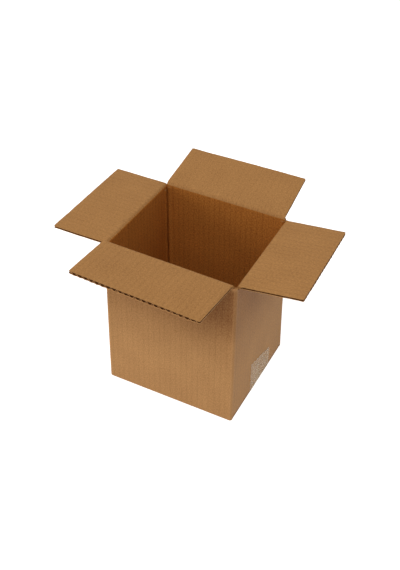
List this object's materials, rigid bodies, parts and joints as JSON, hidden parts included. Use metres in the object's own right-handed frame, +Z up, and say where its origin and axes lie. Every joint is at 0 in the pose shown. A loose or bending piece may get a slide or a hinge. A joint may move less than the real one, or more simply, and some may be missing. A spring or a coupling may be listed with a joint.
{
  "type": "open cardboard box",
  "caption": "Small slotted carton of brown corrugated board, open at the top, with hinged flaps, a folded bottom and clear tape under the base.",
  "frame": {"origin": "under the middle of the base, on the underside of the tape that the carton stands on", "axes": "+X to the right along the front wall, the longest side of the open carton; +Y from front to back; +Z up, out of the opening"},
  "size_m": [0.2765, 0.2566, 0.2003],
  "materials": {
    "kraft_board": "uncoated brown kraft liner",
    "clear_tape": "clear glossy film"
  },
  "bodies": {
    "carton": {"carton_body": "kraft_board", "bottom_tape": "clear_tape"},
    "front_flap": {"front_flap": "kraft_board"},
    "back_flap": {"back_flap": "kraft_board"},
    "left_flap": {"left_flap": "kraft_board"},
    "right_flap": {"right_flap": "kraft_board"}
  },
  "joints": [
    {"name": "front_crease", "type": "hinge", "parent": "carton", "child": "front_flap", "pos_m": [0, -0.0655, 0.1852], "axis": [-1, 0, 0], "range_deg": [-91, 175]},
    {"name": "back_crease", "type": "hinge", "parent": "carton", "child": "back_flap", "pos_m": [0, 0.0655, 0.1852], "axis": [1, 0, 0], "range_deg": [-97, 169]},
    {"name": "left_crease", "type": "hinge", "parent": "carton", "child": "left_flap", "pos_m": [-0.075, 0, 0.182], "axis": [0, 1, 0], "range_deg": [-86.5, 179.5]},
    {"name": "right_crease", "type": "hinge", "parent": "carton", "child": "right_flap", "pos_m": [0.075, 0, 0.182], "axis": [0, -1, 0], "range_deg": [-93, 173]}
  ]
}
